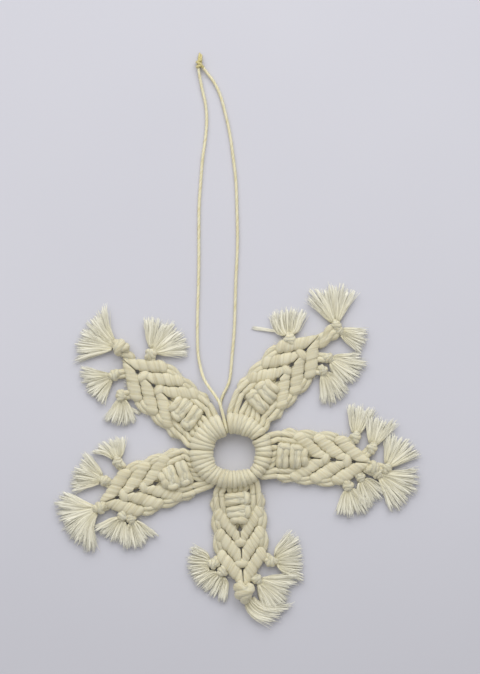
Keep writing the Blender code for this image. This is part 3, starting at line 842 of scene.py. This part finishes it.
def leg_route(row, side, draw):
    """One leg of a row: hitches so close that they make a roll, with a soft lump for each."""
    start = Vector((leg_from, row_along(row, leg_from), 0))
    end = Vector((leg_to, row_along(row, leg_to), 0))
    count = roll_lumps * lump_steps + lump_steps // 2
    points, widths = [], []
    for i in range(count):
        step = i % lump_steps
        if step == 0:
            swell, shift = draw.uniform(0.96, 1.04), draw.uniform(-0.12, 0.12)
        share = 2 * step / lump_steps - 1
        shoulder = 0.145 * (1 - math.sqrt(1 - share * share))
        dent = 0.04 * math.exp(-(share / 0.2) ** 2)
        closing = leg_closing[i] if i < len(leg_closing) else 1.0
        place = start.lerp(end, i / (count - 1))
        points.append((place.x * side, place.y + shift, row_level))
        widths.append(roll_half * swell * (1 - shoulder - dent) * closing)
    return route(points, widths)


def leg_shape(row, side, gap_half):
    """Turns a leg's hitches towards the arm's own direction, ends it in the arm's middle, and
    keeps the hole inside the row's tip open."""
    gap_place = Vector((0, tip_of(row) - gap_back, 0))
    start, end, outward = row_axis(row, side)
    axis = (end - start).normalized()

    def reshape(point):
        offset = (point - start).dot(outward)
        point = point + axis * offset * math.tan(roll_lean)
        inside = point.x * side
        if inside < 0.8:
            inside = 0.1 + 0.7 * math.exp((inside - 0.8) / 0.7)
            sunk = 1 - 0.22 * ((0.8 - inside) / 0.7) ** 2
            point = Vector((inside * side, point.y, row_level + (point.z - row_level) * sunk))
        away = point - gap_place
        away.z = 0
        if away.length < gap_half:
            point = point + away.normalized() * (gap_half - away.length)
        return point

    return reshape


def chevron_row(arm, row, into):
    """The two rolls that a row's hitches make, which meet in the arm's middle."""
    draw = random.Random(f"{arm} row {row}")
    for side, word in ((1, "right"), (-1, "left")):
        name = f"{arm}_row_{row + 1}_{word}_hitches"
        mesh = swept(name, [leg_route(row, side, draw)], roll_outline, into,
                     reshape=leg_shape(row, side, gap_halves[arm][row]), girth=roll_girth)
        piece(name, mesh, cotton, arm + "_arm", "cotton_cord", f"{arm}_chevron_row_{row + 1}")


def edge_strand(side, draw):
    """The strand along the arm's edge, which bulges out between the ends of the rows."""
    line = [(8.2, 1.6, -0.9), (8.8, 3.6, -1.3)]
    for row in range(3):
        at = row_along(row, leg_from)
        line += [(9.2 + draw.uniform(-0.15, 0.2), at - 2.0, strand_level + 0.45),
                 (8.35 + draw.uniform(-0.1, 0.1), at + 0.9, strand_level),
                 (8.95 + draw.uniform(-0.1, 0.3), at + 3.3, strand_level + 0.25)]
    return tapered(smooth_route(mirrored(side, line[:-1]), 44), strand_half, 0.7)


def side_strands(side, draw):
    """One side of an arm: two strands beside the square knots, the one along the edge, one from
    row to row near it, and three that fill the arm below the rows."""
    ways = []
    for line in (
        [(5.7, 1.0, -0.2), (5.65, 3.2, -0.1), (5.45, 5.4, -0.3), (5.2, 8.0, -1.2),
         (5.0, 9.5, strand_level)],
        [(7.8, 0.6, -0.1), (7.9, 2.4, -0.1), (7.8, 4.2, -0.3), (7.5, 6.4, -0.9),
         (7.0, 8.6, strand_level)],
    ):
        ways.append(tapered(smooth_route(mirrored(side, line), 16), 1.14, 0.9))
    ways.append(edge_strand(side, draw))
    for row in range(2):
        at = row_along(row, 8.0)
        line = [(8.3, at + 0.4, strand_level - 0.2), (7.9, at + 2.8, strand_level + 0.9),
                (7.7, at + 4.6, strand_level + 0.9), (7.0, at + 6.8, strand_level)]
        ways.append(tapered(smooth_route(mirrored(side, line), 12), strand_half, 0.8))
    for across, first, last in ((1.5, 16.5, 30.5), (4.0, 13.0, 27.5), (6.4, 10.0, 25.0)):
        line = [(across, first, floor_level + 1.0),
                (across, (first + last) / 2, floor_level + 0.95),
                (across, last, floor_level + 1.0)]
        ways.append(tapered(smooth_route(mirrored(side, line), 10), 1.0, 0.6))
    return ways


def closing_hitch(arm, row, draw):
    """The small hitch that closes a row below its tip, further back where the next hole is wide."""
    tilt = math.radians(draw.uniform(-7, 7))
    across = Vector((math.cos(tilt), math.sin(tilt), 0))
    back = 0.55 * max(gap_halves[arm][row + 1] - 0.35, 0)
    centre = Vector((draw.uniform(-0.15, 0.15), tip_of(row) + 2.1 - back, floor_level + 2.05))
    points = [centre + across * s * (1.8 + 0.5 * row) + Vector((0, -0.25 * s * s, -0.5 * s * s))
              for s in (-1, -0.9, -0.72, -0.4, 0, 0.4, 0.72, 0.9, 1)]
    widths = [1.95 * w for w in (0.35, 0.62, 0.85, 0.98, 1.0, 0.98, 0.85, 0.62, 0.35)]
    return route(points, widths, turns=0.2)


def arm_strands(arm, into):
    """The cords beside the square knots and along the arm's edges, and the closing hitches."""
    draw = random.Random(arm + " strands")
    ways = side_strands(1, draw) + side_strands(-1, draw)
    ways += [closing_hitch(arm, row, draw) for row in range(2)]
    name = arm + "_arm_strands"
    piece(name, swept(name, ways, cord_outline, into), cotton, arm + "_arm", "cotton_cord")


# Tassels and loose fibres

# An overhand knot's turns: each one's lean, its place along the cords and its size
overhand_turns = ((36, 0.34, 0.94), (-40, -0.3, 0.98), (4, 0.0, 1.06))
# A tassel's cords have a knot half way where they are longer than this, but on two arms they
# cross instead
long_neck = 6.5
crossing_arms = ("upper_right", "upper_left")
# A knot of less than this half width is made fuller by this factor
small_knot = 2
small_knot_growth = 1.18
# Frayed fibres lie this far above the floor
fibre_lowest = 0.05

# The strands of a fan. Thick ones make its body, plies lie on it, wisps and single fibres are its
# soft edge. From least to most: the share of the fan's length, the half width, the height at the
# tip; then the height at the knot, how many degrees it curls, how much it gathers in its lock
Kind = namedtuple("Kind", "reach half level lift curl gathers")
fan_kinds = {
    "body": Kind((0.82, 0.9), (0.42, 0.54), (0.1, 0.35), 1.0, 4, 1.0),
    "ply": Kind((0.93, 1.03), (0.36, 0.5), (0.7, 1.3), 1.7, 8, 1.0),
    "wisp": Kind((0.85, 1.04), (0.14, 0.22), (0.4, 1.6), 1.8, 12, 1.0),
    "fibre": Kind((0.75, 1.08), (0.06, 0.1), (0.1, 1.9), 1.9, 18, 0.4),
}
# How a strand's half width changes over its eight points, from the knot to its tip
fan_widths = (0.8, 0.85, 0.95, 1.05, 1.1, 1.1, 1.0, 0.5)
# A fan that isn't in fan_shapes: its bend, how far its outer strands open, half its width
plain_fan = (0, 22, 1.5)
# The width of a lock of strands, at the fan's edge
lock_width = 2.3
Fan = namedtuple("Fan", "root ahead turn length spread shape waves lock_reach lock_lift clump")


def overhand_knot(centre, ahead, half, draw):
    """An overhand knot: three turns that lean across each other round the cords."""
    aside = up.cross(ahead)
    width = 0.44 * half
    ways = []
    for tilt, shift, swell in overhand_turns:
        plane = Matrix.Rotation(math.radians(tilt + draw.uniform(-8, 8)), 3, "Z") @ aside
        points = [centre + ahead * half * (shift + 0.14 * math.sin(2 * turn))
                  + plane * (half * swell - width) * math.cos(turn)
                  + up * (half * 0.92 * swell - width) * math.sin(turn) for turn in circle(16)]
        ways.append(route(points, width * draw.uniform(0.95, 1.08), closed=True, turns=1))
    return ways


def neck(centre, knotted, draw):
    """The two cords from the last row's outer side to a tassel's knot, which cross where they
    are long, or have a knot half way."""
    start, end, outward = row_axis(2, -1 if centre.x < 0 else 1)
    run = end - start
    flat = Vector((centre.x, centre.y, 0))
    share = (flat - start).dot(run) / run.length_squared
    if share > 1 and abs(centre.x) < strand_half:
        seat = Vector((centre.x * 0.5, end.y + row_half * 0.5, 0))
    else:
        seat = start.lerp(end, min(max(share, 0.1), 1)) + outward * row_half * 0.6
    aside = (flat - seat).cross(up).normalized() * 0.75
    far = (flat - seat).length > long_neck
    crossed = far and not knotted
    ways = []
    for side in (1, -1):
        later = -side if crossed else side
        level = floor_level + 1.6 + 0.3 * side
        points = [seat + aside * side * 1.3 + up * (floor_level + 1.2),
                  seat.lerp(flat, 0.35) + aside * side + up * level,
                  seat.lerp(flat, 0.7) + aside * later + up * level,
                  flat + aside * later * 0.6 + up * (floor_level + 1.5)]
        half = strand_half * (1.35 if crossed else 1)
        ways.append(tapered(smooth_route(points, 10), half))
    if far and knotted:
        ways += overhand_knot(seat.lerp(flat, 0.42) + up * (floor_level + 2.3),
                              (flat - seat).normalized(), 2.6, draw)
    return ways


def fan_strand(fan, kind, place, draw):
    """One strand of a fan, which starts at a place from -1, its right edge, to 1, its left."""
    bend, flare, root_half = fan.shape
    aside = Vector((-fan.ahead.y, fan.ahead.x, 0))
    wave = sum(math.sin(3 * (n + 1) * place + fan.waves[n]) for n in range(3)) / 3
    locks = len(fan.lock_reach)
    lock = min(max(int((place + 1) / 2 * locks), 0), locks - 1)
    reach = fan.length * (0.96 + 0.06 * wave) * fan.lock_reach[lock] * draw.uniform(*kind.reach)
    half, level = draw.uniform(*kind.half), draw.uniform(*kind.level)
    curl = draw.uniform(-kind.curl, kind.curl)
    lift = kind.lift * draw.uniform(0.75, 1.2)
    level += fan.lock_lift[lock]
    drawn_in = 2 * (lock + 0.5) / locks - 1 - place
    gathered = fan.clump * drawn_in * kind.gathers
    sway = draw.uniform(0, 6.28)
    spot = fan.root - fan.ahead * 0.8 + aside * place * root_half
    points = []
    steps = len(fan_widths) - 1
    for k in range(steps + 1):
        s = k / steps
        height = lift * (1 - s) ** 1.2 + level * 1.2 * s + 0.25
        points.append(Vector((spot.x, spot.y, floor_level + height)))
        way = fan.turn + (place + gathered * s) * fan.spread * min(1, 0.4 + 1.2 * s)
        way += place * flare * max(0, 1 - 3 * s) + curl * s * s
        way += bend * min(1, 1.6 * s)
        way += 3.5 * math.sin(sway + 5 * s)
        spot = spot + polar(90 + way, reach / steps)
    return route(points, [half * w for w in fan_widths], turns=0.5)


def fan_strands(root, ahead, turn, length, spread, shape, draw):
    """All the strands that a tassel frays into. They gather into locks towards their tips."""
    arc = 2 * math.radians(spread) * length
    waves = [draw.uniform(0, 6.28) for _ in range(3)]
    locks = max(3, round(arc / lock_width))
    lock_reach = [draw.uniform(0.9, 1.05) for _ in range(locks)]
    lock_lift = [draw.uniform(-0.1, 0.4) for _ in range(locks)]
    clump = draw.uniform(0.9, 1.35)
    fan = Fan(root, ahead, turn, length, spread, shape, waves, lock_reach, lock_lift, clump)
    strands = []
    # How many there are of each kind, for the fan's arc in mm
    for word, number in (("body", arc / 0.75), ("ply", arc / 1.25), ("wisp", arc / 0.6),
                         ("fibre", arc * 7 + 30)):
        number = max(6, round(number))
        for i in range(number):
            place = 2 * (i + 0.5) / number - 1 + draw.uniform(-0.05, 0.05)
            if word == "fibre":
                place = draw.uniform(-1.07, 1.07)
            strands.append(fan_strand(fan, fan_kinds[word], place, draw))
    return strands


def tassel(arm, name, place, into):
    """A knot in the ends of an arm's cords, with its neck, and the fan that they fray into."""
    across, along, turn, length, spread, half = place
    draw = random.Random(f"{arm} {name}")
    root = Vector((-across, tip_of(2) + along, 0))
    ahead = Vector((-math.sin(math.radians(turn)), math.cos(math.radians(turn)), 0))
    if half < small_knot:
        half *= small_knot_growth
    centre = root - ahead * half * 1.1 + up * (floor_level + half * 0.88)
    ways = neck(centre, arm not in crossing_arms, draw)
    ways += overhand_knot(centre, ahead, half, draw)
    core_line = [centre - ahead * half * 1.15, centre, root + up * (floor_level + 1.4)]
    ways.append(tapered(smooth_route(core_line, 7), min(half * 0.75, 1.5), 0.7))
    knot_mesh = swept(f"{arm}_{name}_knot", ways, cord_outline, into)
    shape = fan_shapes.get(f"{arm}_{name}", plain_fan)
    strands = fan_strands(root, ahead, turn, length, spread, shape, draw)
    fan_mesh = swept(f"{arm}_{name}_fan", strands, fibre_outline, into, lowest=fibre_lowest)
    piece(f"{arm}_{name}_knot", knot_mesh, cotton, arm + "_arm", "cotton_cord",
          f"{arm}_tassel_{name}")
    piece(f"{arm}_{name}_fringe", fan_mesh, frayed, arm + "_arm", "cotton_cord")


# Single tufts that stick out of an arm: where each starts and ends, across and out along the
# arm, and half its width
loose_tufts = {
    "upper_right": ((-9.0, 28.8), (-19.4, 21.6), 0.45),
    "upper_left": ((-12.6, 25.6), (-11.2, 18.4), 0.4),
}
tuft_strands = 20
edge_fibres = 110


def edge_fibre(draw):
    """A short, crooked fibre that sticks out at an arm's edge."""
    tip = tip_of(2) + 3.4
    side = draw.choice((1, -1))
    along = draw.uniform(1.5, tip - 2)
    across = min(9.3, row_meet + (tip - along) / math.tan(slope))
    spot = Vector((side * (across - 0.4), along, floor_level + draw.uniform(0.5, 2.6)))
    way = draw.choice((1, -1)) * draw.uniform(35, 85)
    points = []
    for _ in range(6):
        points.append(spot.copy())
        turn = math.radians(way)
        spot += Vector((side * math.cos(turn), math.sin(turn), draw.uniform(-0.3, 0.1))) * 0.42
        spot.z = max(spot.z, floor_level + 0.1)
        way += draw.uniform(-35, 35)
    return route(points, [draw.uniform(0.03, 0.055)] * 5 + [0.02])


def tuft_strand(first, last, half, draw):
    """A strand of a loose tuft, which opens towards its end."""
    shift = Vector((draw.uniform(-1, 1), draw.uniform(-1, 1), 0)) * half
    points = []
    for k in range(7):
        s = k / 6
        flat = Vector((*first, 0)).lerp(Vector((*last, 0)), s) + shift * (0.3 + 1.3 * s)
        points.append(flat + up * (floor_level + 1.4 - 1.1 * s + draw.uniform(0, 0.15)))
    return route(points, [draw.uniform(0.1, 0.2)] * 6 + [0.06])


def stray_fibres(arm, into):
    """Short fibres that have worked loose along the arm's edges, and a whole tuft on two arms."""
    draw = random.Random(arm + " stray fibres")
    ways = [edge_fibre(draw) for _ in range(edge_fibres)]
    if arm in loose_tufts:
        ways += [tuft_strand(*loose_tufts[arm], draw) for _ in range(tuft_strands)]
    name = arm + "_stray_fibres"
    mesh = swept(name, ways, fibre_outline, into, lowest=fibre_lowest)
    piece(name, mesh, frayed, arm + "_arm", "cotton_cord")


for arm, (start, end, tassels) in arms.items():
    into = arm_frame(arm)
    root_strands(arm, start, end, into)
    square_knots(arm, into)
    for row in range(3):
        chevron_row(arm, row, into)
    arm_strands(arm, into)
    stray_fibres(arm, into)
    for name, place in tassels.items():
        tassel(arm, name, place, into)

for helper in (cord_outline, fibre_outline, twine_outline, roll_outline):
    bpy.data.objects.remove(helper)
